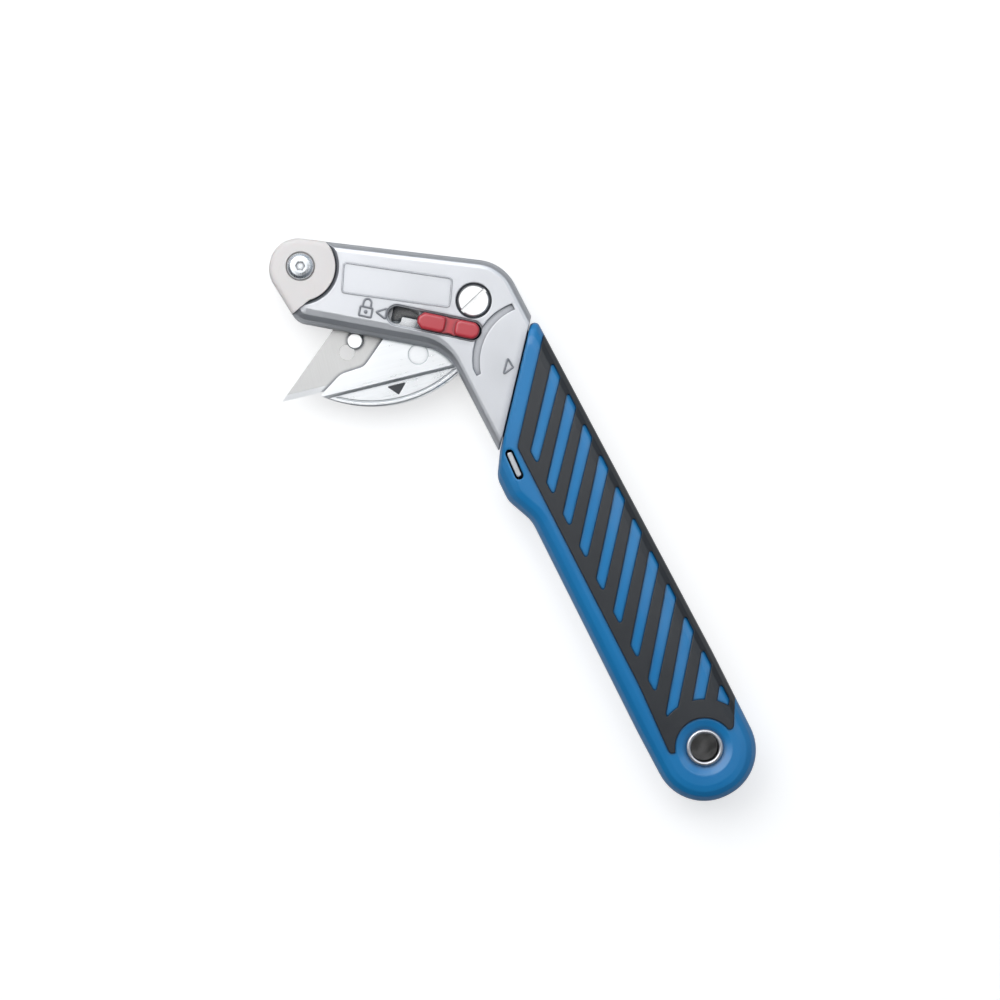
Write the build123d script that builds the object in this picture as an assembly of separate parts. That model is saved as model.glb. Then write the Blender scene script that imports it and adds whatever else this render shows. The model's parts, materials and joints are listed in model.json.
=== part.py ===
from build123d import *
import math
import os

# An angled utility knife: a handle with a swing-open cover, a die-cast head arm set at an angle to it,
# and a blade holder that swings out of the arm on a coin-slotted pivot bolt.
# It is modelled in the handle's own frame: X runs from the butt to the head, Y to the blade side,
# Z out of the front face, with the parting plane of handle and head at Z = 0.

# Handle
BUTT_RADIUS = 14.55
HANDLE_FACE = 9.4  # height of the plastic face over the parting plane
GRIP_FACE = 9.9  # height of the rubber face
GRIP_DEPTH = 1.2  # how deep the rubber is let into the plastic
ROUND_WIDTH = 4.5  # plan width and height of the handle's rounded edge
FINE_RADIUS = 1.0  # corners up to this radius are rounded by two flats
ROUND_STEPS = (0, 22.5, 45, 67.5, 90)  # angles at which a rounding is cut into flats
BUTTON_STEPS = (0, 30, 60, 90)
SMALL_SIDES = 14  # sides of hidden pins, screws and their holes
COVER_GAP = 0.12  # between the swinging cover and what lies under it
EYELET = (0.8, -0.3)
EYELET_BORE = 4.05
EYELET_WALL = 4.75
EYELET_FLANGE = 5.35
DISH_RADIUS = 8.0
LATCH_CENTRE = (98.8, 11.1)
LATCH_ANGLE = -3.5

# Head
HEAD_FACE = 7.5
SPINE = -13.0
LEG_EDGE = 13.3
ARM_ANGLE = 51.0
PIVOT = (146.3, -0.2)
SEAM_GAP = 0.3
CAVITY = 2.7  # half the gap that the blade holder swings in
CAVITY_WALL = 3.5  # casting left along X between that gap and the seam
TONGUE = 4.4  # half the thickness of the nose tongue inside the guard
NOSE_END = 60.0
NOSE_SCREW = (51.1, 0.4)
GUARD_RADIUS = 10.1
SEAT_BEVEL = 1.1  # slope of the casting down to the guard
GUARD_FACE = 8.1

# Lock slide, along the arm
SLOT_LINE = 8.6
SLOT_ENDS = (-1.4, 20.9)
SLOT_RADIUS = 2.65
SLOT_RIM = 0.5  # width and depth of the step round the slot
BUTTON_ENDS = (-3.4, 14.8)
BUTTON_HALF = 2.45
CHANNEL = 4.15  # top of the slider's channel
LUG = (12.5, 7.0)

# Blade and holder
BLADE_LENGTH, BLADE_WIDTH, BLADE_THICKNESS = 62.0, 19.0, 0.65
BLADE_TIP = (48.5, 39.85)
BLADE_HOLES = (21.7, 40.3)
BLADE_ANGLE = 25.45
BLADE_CORNER = 21.86  # how far the slanted ends run in along the edge
HOLE_RADIUS = 2.2
HOLE_DEPTH = 9.5
PLATE_TOP = 2.4
FLANGE_TOP = 1.4
POCKET = 0.4
STEP_OFFSET = 1.4  # how far beyond the cutting edge the raised bed ends
STEP_SLOPE = 0.8
FLANGE_BEVEL = 0.3
RIM_GROOVE = (36.2, 36.8)
FLANGE_CENTRE, FLANGE_RADIUS = (30.9, -1.1), 37.8
BOLT_RADIUS = 3.0
BUSH_RADIUS = 5.0
RUNNING = 0.05

# Spare blade tray
TRAY_CENTRE = (64.0, 0.0)
TRAY_HALF = (32.0, 9.9)
TRAY_FLOOR = -5.2
TANG_BACK = -6.8
TANG_INSET = 2.7
SPARE_COUNT = 5

ARM_COS, ARM_SIN = math.cos(math.radians(ARM_ANGLE)), math.sin(math.radians(ARM_ANGLE))
BLADE_COS, BLADE_SIN = math.cos(math.radians(BLADE_ANGLE)), math.sin(math.radians(BLADE_ANGLE))


def on_arm(along, across, *rest):
    """A point given along and across the arm from the pivot, in the handle's frame."""
    x = PIVOT[0] + along * ARM_COS - across * ARM_SIN
    return (x, PIVOT[1] + along * ARM_SIN + across * ARM_COS, *rest)


def arm_corners(corners):
    return [on_arm(*corner) for corner in corners]


def on_blade(along, deep, *rest):
    """A point along the cutting edge from the tip and deep into the blade."""
    return on_arm(
        BLADE_TIP[0] - along * BLADE_COS + deep * BLADE_SIN,
        BLADE_TIP[1] - along * BLADE_SIN - deep * BLADE_COS,
        *rest,
    )


def seam_x(y):
    """The slanted seam between head and handle."""
    return 119.3 - 1.165 * y


# ---- shared shapes ----


def rounded_face(corners, height=0.0, fine=0.0):
    """A flat face through corners (x, y, radius), rounded by arcs, or up to radius fine by two flats."""
    lift, joints, edges = Vector(0, 0, height), [], []
    for index, (x, y, radius) in enumerate(corners):
        here = Vector(x, y)
        back = (Vector(*corners[index - 1][:2]) - here).normalized()
        ahead = (Vector(*corners[(index + 1) % len(corners)][:2]) - here).normalized()
        half = math.acos(max(-1.0, min(1.0, back.dot(ahead)))) / 2
        run = radius / math.tan(half)
        middle = here
        if radius:
            middle = here + (back + ahead).normalized() * (radius / math.sin(half) - radius)
        joints.append((here + back * run, middle, here + ahead * run, radius))
    for index, (start, middle, end, radius) in enumerate(joints):
        if radius > fine:
            edges.append(ThreePointArc(start + lift, middle + lift, end + lift))
        elif radius:
            edges += [Line(start + lift, middle + lift), Line(middle + lift, end + lift)]
        edges.append(Line(end + lift, joints[(index + 1) % len(joints)][0] + lift))
    return Face(Wire(edges))


def inset_corners(corners, insets):
    """Counter-clockwise corners with edge i, from corner i on, moved inwards by insets[i]."""
    moved, count = [], len(corners)
    for index, (x, y, radius) in enumerate(corners):
        lines = []
        for edge in (index - 1, index):
            start = Vector(*corners[edge % count][:2])
            run = (Vector(*corners[(edge + 1) % count][:2]) - start).normalized()
            inward = Vector(-run.Y, run.X)
            lines.append((start + inward * insets[edge % count], run, inward))
        (first, run_in, _), (second, run_out, inward) = lines
        here = first + run_in * ((second - first).dot(inward) / run_in.dot(inward))
        pair = (insets[index - 1], insets[index])
        convex = run_in.cross(run_out).Z > 0
        radius = radius - min(pair) if convex else radius + sum(pair) / 2
        moved.append((here.X, here.Y, max(radius, 0.3)))
    return moved


def plate(corners, low, high, fine=FINE_RADIUS):
    return extrude(rounded_face(corners, low, fine), high - low, dir=(0, 0, 1))


def disc(centre, radius, low, high):
    return Pos(centre[0], centre[1], (low + high) / 2) * Cylinder(radius, high - low)


def small_disc(centre, radius, low, high):
    """A disc of few sides, for hidden fasteners and the holes that they fill."""
    return Pos(centre[0], centre[1], low) * extrude(RegularPolygon(radius, SMALL_SIDES), high - low)


def ring(centre, outer, inner, low, high):
    return disc(centre, outer, low, high) - disc(centre, inner, low, high)


def turned(profile):
    """A solid of revolution under a profile of (radius, height) points, from the base up."""
    points = [(0, profile[0][1]), *profile, (0, profile[-1][1])]
    return revolve(make_face(Plane.XZ * Polyline(*points, close=True)), Axis.Z)


def rounded_body(corners, widths, base, top, depth, steps=ROUND_STEPS):
    """A body whose top edge is rounded by its own width along each side of its outline."""
    shoulder, sections = top - depth, []
    for angle in steps:
        share = 1 - math.cos(math.radians(angle))
        level = shoulder + depth * math.sin(math.radians(angle))
        insets = [width * share for width in widths]
        sections.append(rounded_face(inset_corners(corners, insets), level))
    return loft(sections, ruled=True) + plate(corners, base, shoulder, 0.0)


def long_slot(start, end, radius, low, high):
    """A round-ended slot between two points."""
    start, end = Vector(*start), Vector(*end)
    run = (end - start).normalized() * radius
    side = Vector(-run.Y, run.X)
    outline = Wire(
        [
            Line(start - side, end - side),
            ThreePointArc(end - side, end + run, end + side),
            Line(end + side, start + side),
            ThreePointArc(start + side, start - run, start - side),
        ]
    )
    return extrude(Pos(0, 0, low) * Face(outline), high - low, dir=(0, 0, 1))


def block(low_corner, high_corner, low, high, radius=0.0):
    """A plate with its sides along the handle."""
    (x, y), (far_x, far_y) = low_corner, high_corner
    corners = [(x, y, radius), (far_x, y, radius), (far_x, far_y, radius), (x, far_y, radius)]
    return plate(corners, low, high)


def arm_block(low_corner, high_corner, low, high, radius=0.0):
    """A plate with its sides along the arm."""
    (u, v), (far_u, far_v) = low_corner, high_corner
    corners = [(u, v, radius), (far_u, v, radius), (far_u, far_v, radius), (u, far_v, radius)]
    return plate(arm_corners(corners), low, high)


def mirrored(body):
    return mirror(body, about=Plane.XY)


# ---- outlines, counter-clockwise ----

HANDLE_CORNERS = [
    (-BUTT_RADIUS, -14.65, BUTT_RADIUS - 0.1),
    (24.0, -15.05, 200.0),
    (seam_x(-13.8), -13.8, 1.55),
    (seam_x(13.0), 13.0, 0.8),
    (97.6, 17.3, 7.0),
    (90.3, 17.45, 6.0),
    (81.9, 14.05, 10.0),
    (13.0, 14.9, 150.0),
    (-BUTT_RADIUS, 14.6, BUTT_RADIUS - 0.1),
]
# The rounding is full along the handle, slight along the seam and runs out beside it.
HANDLE_WIDTHS = [ROUND_WIDTH, ROUND_WIDTH, 0.6, 1.2] + [ROUND_WIDTH] * 5

HEAD_CORNERS = [
    (seam_x(SPINE) + SEAM_GAP, SPINE, 0.3),
    (152.15, SPINE, 13.2),
    on_arm(NOSE_END, -6.88, 1.0),
    on_arm(NOSE_END, 4.6, 1.0),
    on_arm(48.8, 16.5, 5.0),
    (137.1, LEG_EDGE, 13.4),
    (seam_x(LEG_EDGE) + SEAM_GAP, LEG_EDGE, 0.3),
]
HEAD_WIDTHS = [2.4, 2.4, 2.4, 4.5, 4.5, 2.3, 0.1]
HEAD_DEPTH = 3.8

NOSE_CORNERS = arm_corners(
    [
        (34.0, -9.15, 0.3),
        (NOSE_END, -6.88, 8.2),
        (NOSE_END, 4.6, 8.4),
        (48.8, 16.5, 5.0),
        (34.0, 16.5, 0.3),
    ]
)
GUARD_FRONT = arm_corners(
    [(46.5, 9.4, 0), (51.0, 0, 0), (51.0, -12, 0), (66, -12, 0), (66, 18, 0), (53.5, 18.1, 0)]
)

# The space between the head halves that the holder sweeps, open towards the blade side.
CAVITY_CORNERS = [
    on_arm(43.0, 30.0, 0),
    (seam_x(26.0) + CAVITY_WALL, 26.0, 0),
    (seam_x(-10.2) + CAVITY_WALL, -10.2, 2.0),
    (PIVOT[0] + 4.0, -10.2, 6.0),
    on_arm(10.5, -9.4, 6.0),
    on_arm(10.5, 0.5, 1.5),
    on_arm(27.0, 0.5, 3.0),
    on_arm(39.8, 11.2, 2.0),
]

HOLDER_CORNERS = [
    (0, 0, 0),
    (7.6, 8.7, 0),
    (19.4, 8.7, 0.4),
    (19.4, 10.9, 1.1),
    (22.4, 10.9, 1.1),
    (22.4, 5.4, 1.2),
    (17.5, 5.4, 0.8),
    (17.5, 2.8, 0.8),
    (25.3, 2.8, 1.6),
    (25.3, 9.0, 3.0),
    (22.8, 14.6, 3.0),
    (27.2, 25.0, 4.0),
    (33.5, 28.6, 5.0),
    (37.9, 35.9, 0.3),
    (11.1, 41.0, FLANGE_RADIUS),
    (-2.9, 17.0, 1.0),
    (-8.2, 1.0, 0),
]
BOSS_RADIUS = 8.3

BLADE_CORNERS = [
    (0, 0, 0),
    (BLADE_LENGTH, 0, 0),
    (BLADE_LENGTH - BLADE_CORNER, BLADE_WIDTH, 0),
    (BLADE_CORNER, BLADE_WIDTH, 0),
]

GRIP_CORNERS = [
    (132.6, -17.5, 0.3),
    (102.8, 8.0, 2.4),
    (25.0, 8.3, 60.0),
    (3.7, 9.5, 0.9),
    (2.2, -10.3, 0.7),
    (14.2, -17.5, 0.3),
]
GRIP_EYE = 8.7  # the rubber ends on this radius about the eyelet
WINDOW_EYE = 14.0
WINDOWS = 11


def grip_window(index):
    """One slanted window of the rubber, as corners. They spread out and lean over towards the butt."""
    lean = 1.135 + 0.015 * index
    middle = 112.8 - 9.85 * index - 0.08 * index**2
    corners = []
    for y, half in ((-12.5 - 0.07 * index, 2.8 + 0.03 * index), (5.3, 2.4 + 0.02 * index)):
        centre = middle - lean * (y + 8.0)
        corners.append([(centre - half, y, 0.6), (centre + half, y, 0.6)])
    top, bottom = corners
    return top + bottom[::-1]


def grip_zone():
    """Where the rubber lies, as a tall prism: the outline less its windows and the eyelet's end."""
    zone = plate(GRIP_CORNERS[::-1], -1, 12) - disc(EYELET, GRIP_EYE, -1, 12)
    keep = disc(EYELET, WINDOW_EYE, -2, 13)
    for index in range(WINDOWS):
        window = plate(grip_window(index), -2, 13)
        if index >= WINDOWS - 3:
            window = window - keep
        zone = zone - window
    return zone


def handle_body(base, top=HANDLE_FACE):
    return rounded_body(HANDLE_CORNERS, HANDLE_WIDTHS, base, top, ROUND_WIDTH)


def handle_core(base):
    """What lies under the rubber."""
    corners = inset_corners(HANDLE_CORNERS, [GRIP_DEPTH, GRIP_DEPTH] + [0.0] * 6 + [GRIP_DEPTH])
    return rounded_body(corners, HANDLE_WIDTHS, base, GRIP_FACE - GRIP_DEPTH - 0.3, ROUND_WIDTH - 0.4)


def grip_pad(base):
    """The rubber panel of one side."""
    return (handle_body(base, GRIP_FACE) & grip_zone()) - handle_core(base - 1)


def handle_half(base):
    """The plastic of one side, with the bed for the rubber and the dish round the eyelet."""
    body = handle_body(base) - (grip_zone() - handle_core(base - 1))
    floor, deep = HANDLE_FACE - 1.1, 1.2
    dish = Pos(EYELET[0], EYELET[1], floor + deep / 2) * Cone(EYELET_FLANGE + 0.4, DISH_RADIUS + 0.2, deep)
    return body - dish


def tang_corners():
    """The part of the rear casting inside the handle, within the handle's walls."""
    return inset_corners(HANDLE_CORNERS, [TANG_INSET] * len(HANDLE_CORNERS))


def neck_corners(half_width, reach):
    """The slanted stretch where the tang passes under the seam into the leg."""
    sides = ((-half_width, reach), (-half_width, -2.0), (half_width, -2.0), (half_width, reach))
    return [(seam_x(y) - back, y, 0) for y, back in sides]


# ---- head castings ----


def head_half():
    """What both castings share, built on the front side."""
    body = rounded_body(HEAD_CORNERS, HEAD_WIDTHS, 0, HEAD_FACE, HEAD_DEPTH)
    guard_zone = disc(on_arm(*NOSE_SCREW), GUARD_RADIUS + 0.1, -1, 10) + plate(GUARD_FRONT, -1, 10)
    seat = Pos(*on_arm(*NOSE_SCREW), HEAD_FACE - SEAT_BEVEL / 2)
    guard_zone += seat * Cone(GUARD_RADIUS + 0.1, GUARD_RADIUS + 0.1 + SEAT_BEVEL, SEAT_BEVEL)
    tongue = plate(inset_corners(NOSE_CORNERS, [3.5, 3.5, 3.5, 3.5, 0.0]), 0, TONGUE)
    body = (body - guard_zone) + tongue
    body -= plate(CAVITY_CORNERS, -1, CAVITY)
    body -= small_disc(on_arm(*NOSE_SCREW), 2.05, -1, 10)
    body -= disc(PIVOT, BOLT_RADIUS, -1, 10) + disc(PIVOT, 5.25, HEAD_FACE - 1.9, 10)
    body -= small_disc(STOP_PIN, 1.0, -1, 4.5)
    return body - arc_groove()


def arc_groove():
    """A shallow crescent pressed into the face at the elbow."""
    centre, inner_centre, radius = (123.3, -7.4), (122.0, -8.3), 16.6
    crescent = disc(centre, radius + 0.7, HEAD_FACE - 0.9, 9) - disc(inner_centre, radius, 0, 10)
    return crescent & block((126.5, -9.6), (141.5, 9.0), 0, 10)


def front_frame():
    ends = [on_arm(end, SLOT_LINE) for end in SLOT_ENDS]
    body = head_half()
    body -= long_slot(*ends, SLOT_RADIUS, 0, 10)
    body -= long_slot(*ends, SLOT_RADIUS + SLOT_RIM, HEAD_FACE - SLOT_RIM, 10)
    body -= arm_block((-4.2, 4.6), (24.2, 12.4), 1, CHANNEL, 0.6)
    body -= arm_block((1.0, 12.0), (19.0, 13.6), 1, CHANNEL)
    for place in FRAME_SCREWS:
        body -= small_disc(place, 1.25, -1, 5.0)
    return body


FRAME_SCREWS = [on_arm(34.0, -3.4), on_arm(15.5, -4.6)]
STOP_PIN = on_arm(21.5, 1.72)


def rear_frame():
    """The rear casting, whose tang carries the handle and the spare blades."""
    body = mirrored(head_half())
    for place in FRAME_SCREWS:
        body -= small_disc(place, 1.6, -9, 1) + disc(place, 2.9, -9, -5.4)
    tang = plate(tang_corners(), TANG_BACK, 0)
    neck = plate(neck_corners(10.3, 6.0), TANG_BACK, 0)
    body = body + tang + neck
    middle, deep = TRAY_CENTRE
    length, width = TRAY_HALF
    body -= block((middle - length, deep - width), (middle + length, deep + width), TRAY_FLOOR, 1, 1.0)
    body -= small_disc((TRAY_CENTRE[0], 12.5), 6.0, -3.4, 1)
    body -= disc(EYELET, EYELET_WALL, -12, 1)
    body -= small_disc(TRAY_CENTRE, 4.0, TRAY_FLOOR - 1.1, TRAY_FLOOR + 1)
    for place in SHELL_SCREWS:
        body -= small_disc(place, 1.6, -12, 1) + small_disc(place, 3.0, -2.2, 1)
    return body - plate(latch_outline(6.4, 1.4), -0.6, 1)


SHELL_SCREWS = [(20.5, 0.0), (103.5, -3.0)]


# ---- handle ----


def rear_shell():
    body = mirrored(handle_half(0.0))
    body -= plate(tang_corners(), TANG_BACK, 1)
    body -= plate(neck_corners(10.3, 7.0), TANG_BACK, 1)
    body -= disc(EYELET, EYELET_WALL, -12, 1)
    for place in SHELL_SCREWS:
        body -= small_disc(place, 1.25, -8.4, 0)
    body -= plate(latch_outline(8.0, 1.3), -0.6, 1)
    return body


def cover_shell():
    body = handle_half(COVER_GAP)
    hollow = plate(inset_corners(HANDLE_CORNERS, [4.0] * len(HANDLE_CORNERS)), -1, 6.9)
    hollow -= small_disc(EYELET, 9.5, -2, 8)
    hollow -= plate(latch_outline(14.0, 6.5), -2, 8)
    for x in (22.0, 108.5):
        hollow -= block((x - 0.7, -16), (x + 0.7, 16), 1.2, 8)
    body -= hollow
    body -= disc(EYELET, EYELET_WALL + RUNNING, -1, 12)
    body -= latch_slot(9.3, 2.5, -1, 12)
    return body


def latch_slot(length, width, low, high):
    """A round-ended slot along the bulge of the handle, centred on the latch spring."""
    angle = math.radians(LATCH_ANGLE)
    run = Vector(math.cos(angle), math.sin(angle)) * ((length - width) / 2)
    centre = Vector(*LATCH_CENTRE)
    return long_slot(tuple(centre - run), tuple(centre + run), width / 2, low, high)


def latch_outline(length, width, radius=0.2):
    """A box's outline, centred and turned like that slot."""
    angle = math.radians(LATCH_ANGLE)
    run, side = Vector(math.cos(angle), math.sin(angle)), Vector(-math.sin(angle), math.cos(angle))
    centre, corners = Vector(*LATCH_CENTRE), []
    for a, b in ((-1, -1), (1, -1), (1, 1), (-1, 1)):
        point = centre + run * (a * length / 2) + side * (b * width / 2)
        corners.append((point.X, point.Y, radius))
    return corners


def latch_spring():
    """A flat spring on edge in the cover's slot, with a toe that drops into the rear shell's rim."""
    return plate(latch_outline(9.28, 0.8), 1.2, 4.6) + plate(latch_outline(5.6, 0.8), -0.4, 8.7)


def eyelet():
    bead = ring(EYELET, EYELET_FLANGE, EYELET_BORE, 8.4, 9.2)
    bead = chamfer(bead.edges().filter_by(GeomType.CIRCLE).group_by(Axis.Z)[-1], 0.3)
    foot = ring(EYELET, EYELET_FLANGE, EYELET_BORE, -9.2, -8.7)
    return bead + foot + ring(EYELET, EYELET_WALL, EYELET_BORE, -9.0, 9.0)


def eyelet_washer():
    return small_disc(EYELET, 5.7, -8.7, -8.3) - disc(EYELET, EYELET_WALL, -9, -8)


def spare_blades():
    """The stack in the tray, each blade its own solid."""
    start = (TRAY_CENTRE[0] - BLADE_LENGTH / 2, TRAY_CENTRE[1] - BLADE_WIDTH / 2)
    corners = [(x + start[0], y + start[1], r) for x, y, r in BLADE_CORNERS]
    stack = []
    for index in range(SPARE_COUNT):
        low = TRAY_FLOOR + 0.02 + index * (BLADE_THICKNESS + 0.02)
        blade = plate(corners, low, low + BLADE_THICKNESS)
        for hole in BLADE_HOLES:
            place = Pos(start[0] + hole, start[1] + HOLE_DEPTH, low - 1)
            blade -= place * extrude(RegularPolygon(HOLE_RADIUS, SMALL_SIDES), 2)
        stack.append(blade)
    return stack


def tray_magnet():
    return small_disc(TRAY_CENTRE, 3.95, TRAY_FLOOR - 1.1, TRAY_FLOOR)


def shell_screws():
    screws = []
    for place in SHELL_SCREWS:
        screws.append(small_disc(place, 2.8, -2.2, -0.9) + small_disc(place, 1.25, -8.3, -2.2))
    return screws


# ---- head fittings ----


def nose_guard():
    """The U-shaped runner that caps the nose on both faces."""
    half = rounded_body(NOSE_CORNERS, [1.6] * 5, 0, GUARD_FACE, 1.6)
    half &= disc(on_arm(*NOSE_SCREW), GUARD_RADIUS, -1, 10) + plate(GUARD_FRONT, -1, 10)
    half -= plate(inset_corners(NOSE_CORNERS, [3.45, 3.45, 3.45, 3.45, 0.0]), -1, TONGUE + 0.05)
    body = half + mirrored(half)
    body -= small_disc(on_arm(*NOSE_SCREW), 2.05, -12, 12)
    body -= disc(on_arm(*NOSE_SCREW), 4.2, GUARD_FACE - 0.9, 12)
    nut = Pos(*on_arm(*NOSE_SCREW), -GUARD_FACE) * extrude(RegularPolygon(4.1, 6), 3.2)
    return body - nut


def nose_screw():
    """A pan-head screw with a hexagon socket."""
    base = GUARD_FACE - 0.9
    dome = [(3.9, 0), (3.9, 1.2), (3.6, 1.7), (2.9, 2.1), (2.0, 2.2)]
    head = Pos(*on_arm(*NOSE_SCREW), base) * turned(dome)
    head -= Pos(*on_arm(*NOSE_SCREW), base + 1.0) * extrude(RegularPolygon(1.45, 6), 3)
    return head + small_disc(on_arm(*NOSE_SCREW), 2.0, -7.6, base)


def nose_nut():
    body = Pos(*on_arm(*NOSE_SCREW), -GUARD_FACE) * extrude(RegularPolygon(4.0, 6), 3.15)
    return body - small_disc(on_arm(*NOSE_SCREW), 2.0, -12, 0)


def pivot_bolt():
    """The coin-slotted bolt that the holder swings on."""
    head = disc(PIVOT, 4.6, HEAD_FACE - 1.9, HEAD_FACE + 0.1)
    head = chamfer(head.edges().group_by(Axis.Z)[-1], 0.4)
    slot = Pos(*PIVOT, HEAD_FACE + 0.1) * Rot(0, 0, ARM_ANGLE + 55) * Box(12, 1.2, 0.8)
    return (head - slot) + disc(PIVOT, BOLT_RADIUS, -7.0, HEAD_FACE - 1.9)


def pivot_nut():
    body = ring(PIVOT, 4.6, BOLT_RADIUS, -7.4, 1.9 - HEAD_FACE)
    spanner_slot = Pos(*PIVOT, -7.4) * Rot(0, 0, ARM_ANGLE) * Box(12, 1.2, 1.6)
    return body - spanner_slot


def thrust_washers():
    lows = (PLATE_TOP + 0.04, -CAVITY)
    return [small_disc(PIVOT, 4.7, low, low + 0.26) - disc(PIVOT, BOLT_RADIUS, -4, 4) for low in lows]


def frame_screws():
    screws = []
    for place in FRAME_SCREWS:
        head = disc(place, 2.75, -7.0, -5.4) - Pos(*place, -7.0) * extrude(RegularPolygon(1.3, 6), 1.0)
        screws.append(head + small_disc(place, 1.2, -5.4, 4.8))
    return screws


def stop_pin():
    return small_disc(STOP_PIN, 0.98, -4.4, 4.4)


# ---- lock slide ----


def lock_button():
    """Two raised lobes with a waist between them, on a foot that fills the slot."""
    low, high = BUTTON_ENDS
    half, line = BUTTON_HALF, SLOT_LINE
    foot = arm_corners(
        [
            (low, line - half, 2.3),
            (high - 1.6, line - half, 1.2),
            (high, line - 0.9, 1.2),
            (high, line + 0.9, 1.2),
            (high - 1.6, line + half, 1.2),
            (low, line + half, 2.3),
        ]
    )
    body = plate(foot, CAVITY + 1.3, HEAD_FACE + 0.5)
    front = arm_corners(
        [
            (6.6, line - half, 1.4),
            (high - 1.6, line - half, 1.2),
            (high, line - 0.9, 1.2),
            (high, line + 0.9, 1.2),
            (high - 1.6, line + half, 1.2),
            (6.6, line + half, 1.4),
        ]
    )
    rear = arm_corners(
        [(low, line - half, 2.3), (3.8, line - half, 1.6), (3.8, line + half, 1.6), (low, line + half, 2.3)]
    )
    body += rounded_body(front, [0.9] * 6, HEAD_FACE, HEAD_FACE + 1.6, 0.8, BUTTON_STEPS)
    body += rounded_body(rear, [0.9] * 4, HEAD_FACE, HEAD_FACE + 1.5, 0.8, BUTTON_STEPS)
    for side in (-1, 1):
        body -= disc(on_arm(5.2, line + side * (half + 2.2)), 2.6, HEAD_FACE - 0.6, 12)
    return body


def lock_slider():
    """The steel slide under the button, with the lug that catches the holder's hook."""
    body = arm_block((-3.3, 4.8), (14.7, 12.1), CAVITY + 0.05, CAVITY + 1.3, 0.8)
    for notch in (10.0, 1.6):
        body -= disc(on_arm(notch, 12.4), 0.75, 0, 9)
    u, v = LUG
    return body + arm_block((u - 1.2, v - 1.1), (u + 1.2, v + 1.1), 0.6, CAVITY + 0.1, 0.3)


def detent_spring():
    leaf = arm_block((1.4, 12.5), (18.6, 12.9), 2.9, 3.9)
    return leaf + disc(on_arm(10.0, 12.5), 0.6, 2.9, 3.9)


# ---- blade holder ----


def blade_outline(margin=0.0):
    corners = [on_blade(*corner) for corner in BLADE_CORNERS]
    return inset_corners(corners, [-margin] * 4) if margin else corners


def beyond_edge(offset, low, high, slope=0.0):
    """Everything farther out than the cutting edge by offset, with a wall that leans by slope."""
    box = [(-12, -offset, 0), (-12, -40, 0), (75, -40, 0), (75, -offset, 0)]
    outline = rounded_face([on_blade(*corner) for corner in box[::-1]], low)
    lean = math.degrees(math.atan(slope / (high - low)))
    return extrude(outline, high - low, dir=(0, 0, 1), taper=-lean)


def holder_plate():
    """One side plate of the holder: a raised bed over the blade and a lower crescent flange."""
    body = plate(arm_corners(HOLDER_CORNERS), 0, PLATE_TOP) + disc(PIVOT, BOSS_RADIUS, 0, PLATE_TOP)
    body -= beyond_edge(STEP_OFFSET + STEP_SLOPE, FLANGE_TOP, PLATE_TOP, STEP_SLOPE)
    low, high = FLANGE_TOP - FLANGE_BEVEL, FLANGE_TOP + FLANGE_BEVEL
    rounder = Cone(FLANGE_RADIUS, FLANGE_RADIUS - 2 * FLANGE_BEVEL, 2 * FLANGE_BEVEL)
    edge = disc(on_arm(*FLANGE_CENTRE), FLANGE_RADIUS + 1, low, high)
    edge -= Pos(*on_arm(*FLANGE_CENTRE), FLANGE_TOP) * rounder
    body -= edge & beyond_edge(STEP_OFFSET + STEP_SLOPE, low - 1, high + 1)
    body -= plate(blade_outline(0.25), -1, POCKET)
    body -= disc(PIVOT, BUSH_RADIUS, -1, 5)
    for place in HOLDER_RIVETS:
        body -= small_disc(place, 0.9, -1, 5)
    return body


HOLDER_RIVETS = [on_arm(-6.7, 0.0), on_arm(0.0, -6.7), on_arm(23.9, 4.4)]
CLIP_CORNERS = [
    (16.5, 9.8, 0.8),
    (33.0, 11.6, 1.2),
    (33.0, 18.3, 1.0),
    (29.8, 18.3, 1.0),
    (29.8, 15.1, 1.0),
    (16.2, 13.9, 0.8),
]
CLIP_TOP = 0.95
CLIP_BUTTON = (31.4, 18.3)


def holder_front_plate():
    body = holder_plate()
    body -= plate(inset_corners(arm_corners(CLIP_CORNERS), [-0.02] * 6), 0, CLIP_TOP)
    body -= disc(on_arm(12.6, 18.4), 3.0, PLATE_TOP - 0.3, 5)
    inner, outer = RIM_GROOVE
    rim = ring(on_arm(*FLANGE_CENTRE), outer, inner, FLANGE_TOP - 0.25, 3)
    body -= rim & beyond_edge(STEP_OFFSET + STEP_SLOPE + 0.4, FLANGE_TOP - 0.25, 3)
    mark = arm_corners([(19.6, 29.4, 0.2), (15.7, 31.0, 0.2), (14.4, 27.0, 0.2)])
    return body - plate(mark, FLANGE_TOP - 0.2, 3)


def holder_back_plate():
    return mirrored(holder_plate())


def pivot_bush():
    return ring(PIVOT, BUSH_RADIUS, BOLT_RADIUS + RUNNING, -PLATE_TOP, PLATE_TOP)


def holder_rivets():
    return [small_disc(place, 0.9, -PLATE_TOP, PLATE_TOP) for place in HOLDER_RIVETS]


def blade():
    """A trapezoid blade, ground on both faces along its edge."""
    half = BLADE_THICKNESS / 2
    body = plate(blade_outline(), -half, half)
    for hole in BLADE_HOLES:
        body -= disc(on_blade(hole, HOLE_DEPTH), HOLE_RADIUS, -1, 1)
    grind = 1.6
    slope = math.degrees(math.atan((half - 0.04) / grind))
    for side in (-1, 1):
        tool = Rot(side * slope, 0, 0) * Pos(0, 0, side * 1.0) * Box(90, 2 * grind, 2.0)
        grinder = Rot(0, 0, ARM_ANGLE + BLADE_ANGLE + 180) * tool
        spot = on_blade(BLADE_LENGTH / 2, 0)
        body -= Pos(spot[0], spot[1], side * 0.04) * grinder
    return body


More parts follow.
